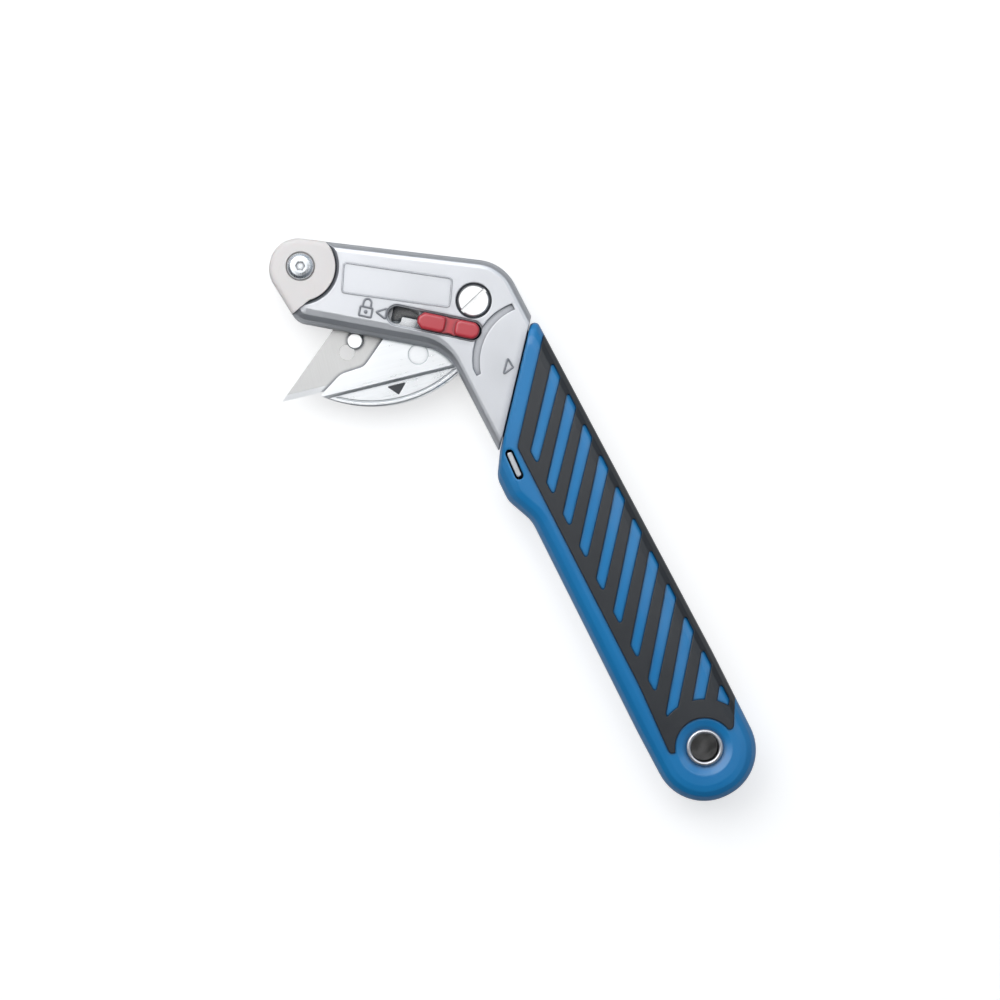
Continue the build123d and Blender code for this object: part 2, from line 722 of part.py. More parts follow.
def blade_clip():
    body = plate(arm_corners(CLIP_CORNERS), POCKET, CLIP_TOP)
    return body - small_disc(on_arm(*CLIP_BUTTON), 0.9, 0, 3)


def clip_button():
    head = disc(on_arm(*CLIP_BUTTON), 2.35, CLIP_TOP, 1.9)
    head = chamfer(head.edges().group_by(Axis.Z)[-1], 0.3)
    return head + small_disc(on_arm(*CLIP_BUTTON), 0.9, POCKET, CLIP_TOP)


# ---- the assembly ----

BODIES = {
    "frame": {
        "front_frame": front_frame,
        "rear_frame": rear_frame,
        "nose_guard": nose_guard,
        "nose_screw": nose_screw,
        "nose_nut": nose_nut,
        "pivot_bolt": pivot_bolt,
        "pivot_nut": pivot_nut,
        "thrust_washers": thrust_washers,
        "frame_screws": frame_screws,
        "stop_pin": stop_pin,
        "detent_spring": detent_spring,
        "rear_shell": rear_shell,
        "rear_grip": lambda: mirrored(grip_pad(0.0)),
        "shell_screws": shell_screws,
        "eyelet": eyelet,
        "eyelet_washer": eyelet_washer,
        "tray_magnet": tray_magnet,
        "spare_blades": spare_blades,
    },
    "cover": {
        "cover_shell": cover_shell,
        "cover_grip": lambda: grip_pad(COVER_GAP),
        "latch_spring": latch_spring,
    },
    "holder": {
        "holder_front_plate": holder_front_plate,
        "holder_back_plate": holder_back_plate,
        "pivot_bush": pivot_bush,
        "holder_rivets": holder_rivets,
        "blade": blade,
        "blade_clip": blade_clip,
        "clip_button": clip_button,
    },
    "lock": {"lock_button": lock_button, "lock_slider": lock_slider},
}


def build_nodes():
    nodes = {}
    for makers in BODIES.values():
        for name, maker in makers.items():
            made = maker()
            pieces = made if isinstance(made, list) else made.solids()
            nodes[name] = Compound(children=list(pieces)) if len(pieces) > 1 else pieces[0]
    return nodes


def reference_point(nodes):
    """The middle of the whole knife's box in plan, on the plane that it lies on."""
    boxes = [node.bounding_box() for node in nodes.values()]
    low = Vector(*(min(tuple(box.min)[axis] for box in boxes) for axis in range(3)))
    high = Vector(*(max(tuple(box.max)[axis] for box in boxes) for axis in range(3)))
    print("size", high - low)
    return Vector((low.X + high.X) / 2, (low.Y + high.Y) / 2, low.Z)


def export_nodes(nodes, origin):
    os.makedirs("parts", exist_ok=True)
    for name, node in nodes.items():
        export_step(node.moved(Location(-origin)), f"parts/{name}.step")
    print("origin in the handle's frame", origin)


NODES = build_nodes()
ORIGIN = reference_point(NODES)
export_nodes(NODES, ORIGIN)
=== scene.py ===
import json
import math

import bmesh
import bpy
from mathutils import Matrix, Vector


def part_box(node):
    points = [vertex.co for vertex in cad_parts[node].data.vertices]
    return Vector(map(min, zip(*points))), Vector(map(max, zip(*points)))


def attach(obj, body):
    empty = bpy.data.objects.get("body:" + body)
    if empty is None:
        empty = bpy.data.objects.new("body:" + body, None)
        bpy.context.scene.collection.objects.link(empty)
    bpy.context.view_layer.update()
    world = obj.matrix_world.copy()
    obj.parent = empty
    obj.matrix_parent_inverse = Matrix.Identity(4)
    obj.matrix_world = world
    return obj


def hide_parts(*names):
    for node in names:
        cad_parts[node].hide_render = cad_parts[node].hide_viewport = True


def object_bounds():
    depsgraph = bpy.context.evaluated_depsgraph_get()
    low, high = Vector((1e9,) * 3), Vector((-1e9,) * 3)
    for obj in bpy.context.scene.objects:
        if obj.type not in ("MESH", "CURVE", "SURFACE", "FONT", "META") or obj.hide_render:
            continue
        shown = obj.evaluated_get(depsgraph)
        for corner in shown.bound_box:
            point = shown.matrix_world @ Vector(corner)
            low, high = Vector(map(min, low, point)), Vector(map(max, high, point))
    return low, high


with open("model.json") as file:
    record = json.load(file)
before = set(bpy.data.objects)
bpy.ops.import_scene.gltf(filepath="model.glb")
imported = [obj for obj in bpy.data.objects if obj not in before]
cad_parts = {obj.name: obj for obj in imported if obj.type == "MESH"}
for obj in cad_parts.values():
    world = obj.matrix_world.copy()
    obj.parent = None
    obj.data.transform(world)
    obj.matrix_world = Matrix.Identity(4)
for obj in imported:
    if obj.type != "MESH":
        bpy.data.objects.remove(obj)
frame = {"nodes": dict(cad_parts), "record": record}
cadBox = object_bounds()
print("frame loaded:", len(frame["nodes"]), "nodes")

mm = 0.001
smoothAngle = math.radians(34)
weldGap = 1e-7  # vertices nearer than this are one

# places on the knife, in millimetres
knifePlan = {
    "eyeletCentre": (0.8, -0.3),  # in handle axes: x from the butt to the head, y to the blade side
    "armAngle": 51.0,
    "headFace": 7.5,  # heights over the parting plane
    "flangeFace": 1.4,
}


def boxMiddle(node):
    low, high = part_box(node)
    return (low + high) / 2


eyeletMiddle = boxMiddle("eyelet")  # its height is the parting plane
pivotMiddle = boxMiddle("pivot_bush")
armTurn = math.radians(knifePlan["armAngle"])


def onHandle(x, y, z=0.0):
    startX, startY = knifePlan["eyeletCentre"]
    return eyeletMiddle + Vector((x - startX, y - startY, z)) * mm


def onArm(along, across, z=0.0):
    # along the arm from the pivot, and across it to the blade side
    x = along * math.cos(armTurn) - across * math.sin(armTurn)
    y = along * math.sin(armTurn) + across * math.cos(armTurn)
    return Vector((pivotMiddle.x, pivotMiddle.y, eyeletMiddle.z)) + Vector((x, y, z)) * mm


def meshObject(name, build, body, finish):
    # build fills a bmesh; the piece then rides on its body
    work = bmesh.new()
    build(work)
    bmesh.ops.remove_doubles(work, verts=work.verts, dist=weldGap)
    bmesh.ops.recalc_face_normals(work, faces=work.faces)
    mesh = bpy.data.meshes.new(name)
    work.to_mesh(mesh)
    work.free()
    mesh.shade_smooth()
    mesh.set_sharp_from_angle(angle=smoothAngle)
    mesh.materials.append(finish)
    piece = bpy.data.objects.new(name, mesh)
    bpy.context.scene.collection.objects.link(piece)
    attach(piece, body)
    return piece


def bridgeRings(work, rings, closed):
    # quads between neighbouring rings of vertices
    pairs = list(zip(rings, rings[1:] + rings[:1])) if closed else list(zip(rings, rings[1:]))
    for first, second in pairs:
        count = len(first)
        for index in range(count):
            following = (index + 1) % count
            work.faces.new((first[index], first[following], second[following], second[index]))


def lathe(work, centre, profile, segments=72):
    # profile: (radius, height) rows
    rings = []
    for radius, height in profile:
        ring = []
        for step in range(segments):
            angle = 2 * math.pi * step / segments
            offset = Vector((radius * math.cos(angle), radius * math.sin(angle), height)) * mm
            ring.append(work.verts.new(centre + offset))
        rings.append(ring)
    return rings


def roundedLoop(corners, steps=6):
    # corners: (x, y, radius), each rounded by an arc
    points = []
    for index, (x, y, radius) in enumerate(corners):
        here = Vector((x, y))
        back = (Vector(corners[index - 1][:2]) - here).normalized()
        ahead = (Vector(corners[(index + 1) % len(corners)][:2]) - here).normalized()
        half = back.angle(ahead) / 2
        centre = here + (back + ahead).normalized() * (radius / math.sin(half))
        start = here + back * (radius / math.tan(half)) - centre
        end = here + ahead * (radius / math.tan(half)) - centre
        turn = start.angle_signed(end)
        for step in range(steps + 1):
            spin = Matrix.Rotation(-turn * step / steps, 2)
            points.append(centre + spin @ start)
    return points


def ribbon(work, points, place, width, low, high, closed=True):
    # a raised line of rounded section along points, set on the face by place(x, y, z)
    count = len(points)
    half = width / 2
    soft = width * 0.3  # rounding of its upper edges
    tightest = 0.3  # keeps the line's corner short where it turns back sharply
    section = [(-half, low), (-half, high - soft), (soft - half, high), (half - soft, high)]
    section += [(half, high - soft), (half, low)]
    rings = []
    for index, point in enumerate(points):
        before = points[index - 1] if closed or index else None
        after = points[(index + 1) % count] if closed or index < count - 1 else None
        runs = []
        if before is not None:
            runs.append((point - before).normalized())
        if after is not None:
            runs.append((after - point).normalized())
        sides = [Vector((-run.y, run.x)) for run in runs]
        side = sides[0]
        if len(sides) == 2:
            side = (sides[0] + sides[1]) / max(tightest, 1 + sides[0].dot(sides[1]))
        spots = [place(*(point + side * reach), height) for reach, height in section]
        rings.append([work.verts.new(spot) for spot in spots])
    bridgeRings(work, rings, closed)
    if not closed:
        work.faces.new(rings[0])
        work.faces.new(rings[-1][::-1])


def slab(work, points, place, low, high):
    # a flat plate with a small bevel round its top
    bevel = 0.06
    middle = sum(points, Vector((0, 0))) / len(points)
    rings = []
    for height, inset in ((low, 0.0), (high - bevel, 0.0), (high, bevel)):
        ring = []
        for point in points:
            inward = (middle - point).normalized() * inset
            ring.append(work.verts.new(place(*(point + inward), height)))
        rings.append(ring)
    bridgeRings(work, rings, False)
    work.faces.new(rings[0][::-1])
    work.faces.new(rings[-1])


def addNode(tree, kind, **settings):
    node = tree.nodes.new(kind)
    for name, value in settings.items():
        setattr(node, name, value)
    return node


def plug(tree, socket, value):
    if isinstance(value, bpy.types.NodeSocket):
        tree.links.new(value, socket)
    else:
        socket.default_value = value


def mixColour(tree, factor, first, second):
    node = addNode(tree, "ShaderNodeMix", data_type="RGBA")
    for index, value in ((0, factor), (6, first), (7, second)):
        plug(tree, node.inputs[index], value)
    return node.outputs[2]


def spread(tree, value, fromLow, fromHigh, toLow, toHigh):
    node = addNode(tree, "ShaderNodeMapRange")
    plug(tree, node.inputs["Value"], value)
    ends = {"From Min": fromLow, "From Max": fromHigh, "To Min": toLow, "To Max": toHigh}
    for label, number in ends.items():
        node.inputs[label].default_value = number
    return node.outputs["Result"]


def maths(tree, operation, first, second=0.0):
    node = addNode(tree, "ShaderNodeMath", operation=operation)
    plug(tree, node.inputs[0], first)
    plug(tree, node.inputs[1], second)
    return node.outputs[0]


def bumped(tree, height, bump, normal):
    # bump: (strength, depth in metres); normal is what the bump is laid over
    node = addNode(tree, "ShaderNodeBump")
    strength, depth = bump
    node.inputs["Strength"].default_value = strength
    node.inputs["Distance"].default_value = depth
    plug(tree, node.inputs["Height"], height)
    plug(tree, node.inputs["Normal"], normal)
    return node.outputs["Normal"]


def newGroup(name, inputs, outputs):
    group = bpy.data.node_groups.new(name, "ShaderNodeTree")
    for label, kind, value in inputs:
        socket = group.interface.new_socket(label, in_out="INPUT", socket_type=kind)
        socket.default_value = value
    for label, kind in outputs:
        group.interface.new_socket(label, in_out="OUTPUT", socket_type=kind)
    return group, group.nodes.new("NodeGroupInput"), group.nodes.new("NodeGroupOutput")


def placeGroup(tree, name, **values):
    node = tree.nodes.new("ShaderNodeGroup")
    node.node_tree = bpy.data.node_groups[name]
    for label, value in values.items():
        plug(tree, node.inputs[label], value)
    return node


def tinted(tree, mask, share, colour, tint):
    # the colour with a share of the tint wherever the mask is
    return mixColour(tree, maths(tree, "MULTIPLY", mask, share), colour, tint)


noiseRange = (0.3, 0.7)  # where nearly all of a noise's values lie
twoNoises = (0.7, 1.3)  # the same for the sum of two


def newFinish(name, look):
    # a material whose plain values are set on the shader itself
    material = bpy.data.materials.new(name)
    material.use_nodes = True
    shader = material.node_tree.nodes["Principled BSDF"]
    for label, value in look.get("shader", {}).items():
        shader.inputs[label].default_value = value
    return material, material.node_tree, shader


def buildSoftEdge():
    # where an edge is, and the normal rounded over it
    inputs = [("Radius", "NodeSocketFloat", 0.0003), ("Breakup", "NodeSocketFloat", 600.0)]
    outputs = [("Mask", "NodeSocketFloat"), ("Normal", "NodeSocketVector")]
    group, start, end = newGroup("softEdge", inputs, outputs)
    bevel = addNode(group, "ShaderNodeBevel", samples=6)
    plug(group, bevel.inputs["Radius"], start.outputs["Radius"])
    geometry = addNode(group, "ShaderNodeNewGeometry")
    match = addNode(group, "ShaderNodeVectorMath", operation="DOT_PRODUCT")
    plug(group, match.inputs[0], bevel.outputs["Normal"])
    plug(group, match.inputs[1], geometry.outputs["Normal"])
    edge = spread(group, match.outputs["Value"], 0.995, 0.85, 0.0, 1.0)  # 6 to 32 degrees off the face
    place = addNode(group, "ShaderNodeTexCoord")
    noise = addNode(group, "ShaderNodeTexNoise")
    plug(group, noise.inputs["Vector"], place.outputs["Object"])
    plug(group, noise.inputs["Scale"], start.outputs["Breakup"])
    broken = spread(group, noise.outputs["Fac"], 0.35, 0.6, 0.35, 1.0)  # with patches of weaker wear
    plug(group, end.inputs["Mask"], maths(group, "MULTIPLY", edge, broken))
    plug(group, end.inputs["Normal"], bevel.outputs["Normal"])


def buildGrain():
    # fine grain for the bump and a slow drift for colour and roughness
    inputs = [("Scale", "NodeSocketFloat", 3000.0), ("Drift", "NodeSocketFloat", 40.0)]
    outputs = [("Height", "NodeSocketFloat"), ("Variation", "NodeSocketFloat")]
    group, start, end = newGroup("grain", inputs, outputs)
    place = addNode(group, "ShaderNodeTexCoord")
    for label, source, detail in [("Height", "Scale", 3.0), ("Variation", "Drift", 4.0)]:
        noise = addNode(group, "ShaderNodeTexNoise")
        plug(group, noise.inputs["Vector"], place.outputs["Object"])
        plug(group, noise.inputs["Scale"], start.outputs[source])
        noise.inputs["Detail"].default_value = detail
        plug(group, end.inputs[label], noise.outputs["Fac"])


def buildBrushed():
    # long fine lines, turned by Angle about the face's axis
    inputs = [
        ("Angle", "NodeSocketFloat", 0.0),
        ("Fineness", "NodeSocketFloat", 4000.0),
        ("Length", "NodeSocketFloat", 60.0),
    ]
    outputs = [("Height", "NodeSocketFloat")]
    group, start, end = newGroup("brushed", inputs, outputs)
    place = addNode(group, "ShaderNodeTexCoord")
    turn = addNode(group, "ShaderNodeVectorRotate", rotation_type="Z_AXIS")
    plug(group, turn.inputs["Vector"], place.outputs["Object"])
    plug(group, turn.inputs["Angle"], start.outputs["Angle"])
    stretch = addNode(group, "ShaderNodeVectorMath", operation="MULTIPLY")
    size = addNode(group, "ShaderNodeCombineXYZ")
    plug(group, size.inputs["X"], start.outputs["Length"])
    plug(group, size.inputs["Y"], start.outputs["Fineness"])
    plug(group, size.inputs["Z"], start.outputs["Fineness"])
    plug(group, stretch.inputs[0], turn.outputs["Vector"])
    plug(group, stretch.inputs[1], size.outputs["Vector"])
    noise = addNode(group, "ShaderNodeTexNoise")
    plug(group, noise.inputs["Vector"], stretch.outputs["Vector"])
    noise.inputs["Scale"].default_value = 1.0
    noise.inputs["Detail"].default_value = 3.0
    plug(group, end.inputs["Height"], noise.outputs["Fac"])


def buildScratches():
    # sparse thin marks in two directions
    inputs = [("Density", "NodeSocketFloat", 900.0), ("Amount", "NodeSocketFloat", 0.5)]
    group, start, end = newGroup("scratches", inputs, [("Mask", "NodeSocketFloat")])
    runs = [(0.6, 0.70), (2.1, 0.72)]  # direction, and the height a line must have to show
    softness = 0.03
    masks = []
    for angle, threshold in runs:
        lines = placeGroup(group, "brushed", Angle=angle, Length=70.0)
        plug(group, lines.inputs["Fineness"], start.outputs["Density"])
        masks.append(spread(group, lines.outputs["Height"], threshold, threshold + softness, 0.0, 1.0))
    total = maths(group, "MAXIMUM", *masks)
    plug(group, end.inputs["Mask"], maths(group, "MULTIPLY", total, start.outputs["Amount"]))


def buildRecess():
    # masks for painted shade, from ambient occlusion: creases beside a step, and the insides of deep
    # slots
    inputs = [("Distance", "NodeSocketFloat", 0.0015), ("Reach", "NodeSocketFloat", 0.006)]
    outputs = [("Mask", "NodeSocketFloat"), ("DeepShade", "NodeSocketFloat")]
    group, start, end = newGroup("recess", inputs, outputs)
    # output, input, and how open the place is where the mask starts and where it is full
    shades = [("Mask", "Distance", 1.0, 0.5), ("DeepShade", "Reach", 0.4, 0.15)]
    for label, source, openest, deepest in shades:
        shade = addNode(group, "ShaderNodeAmbientOcclusion", samples=8)
        plug(group, shade.inputs["Distance"], start.outputs[source])
        plug(group, end.inputs[label], spread(group, shade.outputs["AO"], openest, deepest, 0.0, 1.0))


def buildCrown():
    # the height of a face that is slightly crowned across the handle
    inputs = [
        ("Crest", "NodeSocketVector", tuple(onHandle(78.0, -3.0))),  # a point on the ridge
        ("Turn", "NodeSocketFloat", -0.09),  # the ridge's slope to the handle's axis
        ("Radius", "NodeSocketFloat", 0.06),
    ]
    group, start, end = newGroup("crown", inputs, [("Height", "NodeSocketFloat")])
    place = addNode(group, "ShaderNodeTexCoord")
    away = addNode(group, "ShaderNodeVectorMath", operation="SUBTRACT")
    plug(group, away.inputs[0], place.outputs["Object"])
    plug(group, away.inputs[1], start.outputs["Crest"])
    split = addNode(group, "ShaderNodeSeparateXYZ")
    plug(group, split.inputs[0], away.outputs["Vector"])
    lean = maths(group, "MULTIPLY", split.outputs["X"], start.outputs["Turn"])
    across = maths(group, "SUBTRACT", split.outputs["Y"], lean)
    fall = maths(group, "DIVIDE", maths(group, "MULTIPLY", across, across), start.outputs["Radius"])
    # a circle falls by half the square of the way across, over its radius
    plug(group, end.inputs["Height"], maths(group, "MULTIPLY", fall, -0.5))


def crowned(tree, radius, normal):
    # the crown's height is in metres already, so it is laid on in full
    crown = placeGroup(tree, "crown", Radius=radius)
    return bumped(tree, crown.outputs["Height"], (1.0, 1.0), normal)


for builder in (buildSoftEdge, buildGrain, buildBrushed, buildScratches, buildRecess, buildCrown):
    builder()
print("shared effects ready")


# the looks: the shares are of the edge colour (wear) and of painted shade in the creases, bumps are
# (strength, depth)
dieCastLook = {
    "colour": (0.70, 0.71, 0.735, 1),
    "drift": (0.64, 0.65, 0.675, 1),
    "edge": (0.90, 0.91, 0.93, 1),
    "creaseShade": (0.20, 0.21, 0.24, 1),
    "inside": (0.04, 0.048, 0.062, 1),
    "wear": 0.6,
    "soot": 0.8,
    "grain": {"Scale": 2600.0, "Drift": 55.0},
    "edges": {"Radius": 0.00045, "Breakup": 900.0},
    "recess": {"Distance": 0.0024, "Reach": 0.005},
    "scratches": {"Density": 2200.0, "Amount": 0.35},
    "roughness": (0.30, 0.42),
    "scratched": 0.12,  # roughness added in a scratch
    "bump": (0.12, 0.0001),
    "metal": (0.85, 0.35),  # in the open, in a crease
    "shader": {"Specular IOR Level": 0.5},
}


def dieCastFinish(name, look):
    material, tree, shader = newFinish(name, look)
    grain = placeGroup(tree, "grain", **look["grain"])
    edge = placeGroup(tree, "softEdge", **look["edges"])
    recess = placeGroup(tree, "recess", **look["recess"])
    scratch = placeGroup(tree, "scratches", **look["scratches"])
    colour = mixColour(tree, grain.outputs["Variation"], look["drift"], look["colour"])
    colour = tinted(tree, edge.outputs["Mask"], look["wear"], colour, look["edge"])
    # painted shade: darker in the creases and near black in deep slots, from ambient occlusion
    colour = tinted(tree, recess.outputs["Mask"], look["soot"], colour, look["creaseShade"])
    colour = mixColour(tree, recess.outputs["DeepShade"], colour, look["inside"])
    plug(tree, shader.inputs["Base Color"], colour)
    plug(tree, shader.inputs["Metallic"], spread(tree, recess.outputs["Mask"], 0.0, 1.0, *look["metal"]))
    rough = spread(tree, grain.outputs["Variation"], *noiseRange, *look["roughness"])
    scratched = maths(tree, "MULTIPLY", scratch.outputs["Mask"], look["scratched"])
    plug(tree, shader.inputs["Roughness"], maths(tree, "ADD", rough, scratched))
    normal = bumped(tree, grain.outputs["Height"], look["bump"], edge.outputs["Normal"])
    plug(tree, shader.inputs["Normal"], normal)
    return material


guardLook = {
    "colour": (0.86, 0.82, 0.80, 1),
    "drift": (0.82, 0.78, 0.76, 1),
    "scuffAndShade": (0.55, 0.52, 0.50, 1),
    "soot": 0.5,
    "grain": {"Scale": 3500.0, "Drift": 90.0},
    "edges": {"Radius": 0.0005, "Breakup": 1200.0},
    "recess": {"Distance": 0.001},
    "scratches": {"Density": 1500.0, "Amount": 0.25},
    "roughness": (0.48, 0.62),
    "bump": (0.1, 0.0001),
    "shader": {"Subsurface Weight": 0.04, "Subsurface Scale": 0.002, "Specular IOR Level": 0.4},
}


def guardFinish():
    look = guardLook
    material, tree, shader = newFinish("whiteGuardNylon", look)
    grain = placeGroup(tree, "grain", **look["grain"])
    edge = placeGroup(tree, "softEdge", **look["edges"])
    recess = placeGroup(tree, "recess", **look["recess"])
    scratch = placeGroup(tree, "scratches", **look["scratches"])
    colour = mixColour(tree, grain.outputs["Variation"], look["drift"], look["colour"])
    # painted shade: the creases take the scuff colour by ambient occlusion, beside the scratches that
    # are real wear
    creaseShade = maths(tree, "MULTIPLY", recess.outputs["Mask"], look["soot"])
    scuffAndShadeMask = maths(tree, "MAXIMUM", scratch.outputs["Mask"], creaseShade)
    plug(tree, shader.inputs["Base Color"], mixColour(tree, scuffAndShadeMask, colour, look["scuffAndShade"]))
    rough = spread(tree, grain.outputs["Variation"], *noiseRange, *look["roughness"])
    plug(tree, shader.inputs["Roughness"], rough)
    normal = bumped(tree, grain.outputs["Height"], look["bump"], edge.outputs["Normal"])
    plug(tree, shader.inputs["Normal"], normal)
    return material


finishedSteel = {
    "wear": 0.5,
    "grain": {"Scale": 2000.0, "Drift": 120.0},
    "breakup": 1500.0,
    "recess": {"Distance": 0.001, "Reach": 0.014},
}


def steelFinish(name, look):
    # plated or turned steel: fine lines, brighter edges, painted shade in the recesses
    steel = finishedSteel
    material, tree, shader = newFinish(name, look)
    lines = placeGroup(tree, "brushed", **look["brush"])
    grain = placeGroup(tree, "grain", **steel["grain"])
    edge = placeGroup(tree, "softEdge", Radius=look["edgeRadius"], Breakup=steel["breakup"])
    recess = placeGroup(tree, "recess", **steel["recess"])
    colour = mixColour(tree, lines.outputs["Height"], look["drift"], look["colour"])
    colour = tinted(tree, edge.outputs["Mask"], steel["wear"], colour, look["edge"])
    # painted shade: darker in the creases and near black in deep holes, from ambient occlusion
    colour = tinted(tree, recess.outputs["Mask"], look["soot"], colour, look["creaseShade"])
    colour = mixColour(tree, recess.outputs["DeepShade"], colour, look["inside"])
    plug(tree, shader.inputs["Base Color"], colour)
    mixed = maths(tree, "ADD", lines.outputs["Height"], grain.outputs["Variation"])
    plug(tree, shader.inputs["Roughness"], spread(tree, mixed, *twoNoises, *look["roughness"]))
    normal = bumped(tree, lines.outputs["Height"], look["bump"], edge.outputs["Normal"])
    plug(tree, shader.inputs["Normal"], normal)
    return material


chromeLook = {
    "colour": (0.84, 0.85, 0.87, 1),
    "drift": (0.74, 0.75, 0.78, 1),
    "edge": (0.95, 0.95, 0.96, 1),
    "creaseShade": (0.05, 0.05, 0.06, 1),
    "inside": (0.02, 0.022, 0.03, 1),
    "soot": 0.6,
    "brush": {"Angle": 0.4, "Fineness": 3000.0, "Length": 400.0},
    "edgeRadius": 0.0002,
    "roughness": (0.08, 0.18),
    "bump": (0.05, 0.00005),
    "shader": {"Metallic": 1.0},
}
turnedLook = {
    "colour": (0.72, 0.72, 0.73, 1),
    "drift": (0.60, 0.60, 0.62, 1),
    "edge": (0.88, 0.88, 0.9, 1),
    "creaseShade": (0.07, 0.07, 0.08, 1),
    "inside": (0.03, 0.03, 0.04, 1),
    "soot": 0.7,
    "brush": {"Angle": 1.9, "Fineness": 5000.0, "Length": 150.0},
    "edgeRadius": 0.0002,
    "roughness": (0.24, 0.4),
    "bump": (0.12, 0.00005),
    "shader": {"Metallic": 1.0},
}
holderLook = {
    "colour": (0.95, 0.965, 0.98, 1),
    "drift": (0.87, 0.885, 0.90, 1),
    "edge": (0.98, 0.98, 0.99, 1),
    "creaseShade": (0.12, 0.16, 0.19, 1),
    "inside": (0.03, 0.04, 0.05, 1),
    "soot": 0.8,
    "brush": {"Angle": -1.334, "Fineness": 2500.0, "Length": 60.0},
    "edgeRadius": 0.00018,
    "roughness": (0.26, 0.36),
    "bump": (0.012, 0.00005),
    "shader": {"Metallic": 0.9},
}


bladeLook = {
    "colour": (0.65, 0.645, 0.635, 1),
    "drift": (0.56, 0.555, 0.545, 1),
    "ground": (0.97, 0.97, 0.97, 1),
    "creaseShade": (0.14, 0.15, 0.17, 1),
    "inside": (0.03, 0.035, 0.04, 1),
    "oil": (0.45, 0.42, 0.40, 1),
    # grinding lines run square to the cutting edge
    "brush": {"Angle": math.radians(90 - 76.45), "Fineness": 6000.0, "Length": 120.0},
    "grain": {"Scale": 1800.0, "Drift": 70.0},
    "edges": {"Radius": 0.00012, "Breakup": 1500.0},
    "recess": {"Distance": 0.0013, "Reach": 0.014},
    "groundTilt": (0.996, 0.986),  # how level a face is where the ground colour starts and is full
    "stains": (0.55, 0.8),  # noise where a stain starts and is full
    "stain": 0.35,
    "creaseShadeSpan": (0.15, 0.7),  # recess where the painted crease shade starts and is full
    "soot": 0.85,
    "roughness": (0.34, 0.5),
    "bump": (0.15, 0.00004),
    "metal": (0.75, 0.15),  # on the flats, on the ground edge
}


def bladeFinish():
    look = bladeLook
    material, tree, shader = newFinish("groundBladeSteel", look)
    lines = placeGroup(tree, "brushed", **look["brush"])
    grain = placeGroup(tree, "grain", **look["grain"])
    edge = placeGroup(tree, "softEdge", **look["edges"])
    recess = placeGroup(tree, "recess", **look["recess"])
    geometry = addNode(tree, "ShaderNodeNewGeometry")
    split = addNode(tree, "ShaderNodeSeparateXYZ")
    plug(tree, split.inputs[0], geometry.outputs["True Normal"])
    flat = maths(tree, "ABSOLUTE", split.outputs["Z"])
    ground = spread(tree, flat, *look["groundTilt"], 0.0, 1.0)
    colour = mixColour(tree, lines.outputs["Height"], look["drift"], look["colour"])
    stain = spread(tree, grain.outputs["Variation"], *look["stains"], 0.0, look["stain"])
    colour = mixColour(tree, stain, colour, look["oil"])
    colour = mixColour(tree, ground, colour, look["ground"])
    # painted shadow: darker beside the holder's edge and in the creases, near black in deep holes, from
    # ambient occlusion
    creaseShade = spread(tree, recess.outputs["Mask"], *look["creaseShadeSpan"], 0.0, look["soot"])
    colour = mixColour(tree, creaseShade, colour, look["creaseShade"])
    colour = mixColour(tree, recess.outputs["DeepShade"], colour, look["inside"])
    plug(tree, shader.inputs["Base Color"], colour)
    plug(tree, shader.inputs["Metallic"], spread(tree, ground, 0.0, 1.0, *look["metal"]))
    mixed = maths(tree, "ADD", lines.outputs["Height"], grain.outputs["Variation"])
    plug(tree, shader.inputs["Roughness"], spread(tree, mixed, *twoNoises, *look["roughness"]))
    normal = bumped(tree, lines.outputs["Height"], look["bump"], edge.outputs["Normal"])
    plug(tree, shader.inputs["Normal"], normal)
    return material


blueLook = {
    "colour": (0.004, 0.245, 0.575, 1),
    "drift": (0.002, 0.190, 0.490, 1),
    "edge": (0.09, 0.38, 0.68, 1),
    "creaseShade": (0.004, 0.035, 0.11, 1),
    "roughness": (0.26, 0.4),
    "edgeRadius": 0.0009,
    "crown": 0.06,  # radius of the handle's crowned face
    "shader": {"Specular IOR Level": 0.6, "Coat Weight": 0.4, "Coat Roughness": 0.16},
}
mouldedPlastic = {
    "wear": 0.35,
    "soot": 0.8,
    "grain": {"Scale": 4200.0, "Drift": 60.0},
    "wave": {"Scale": 110.0, "Drift": 25.0},
    "breakup": 1000.0,
    "recess": {"Distance": 0.0014},
    "scratches": {"Density": 1800.0, "Amount": 0.3},
    "scratched": 0.2,  # roughness added in a scratch
    "waveBump": (0.25, 0.0004),
    "bump": (0.06, 0.0001),
}


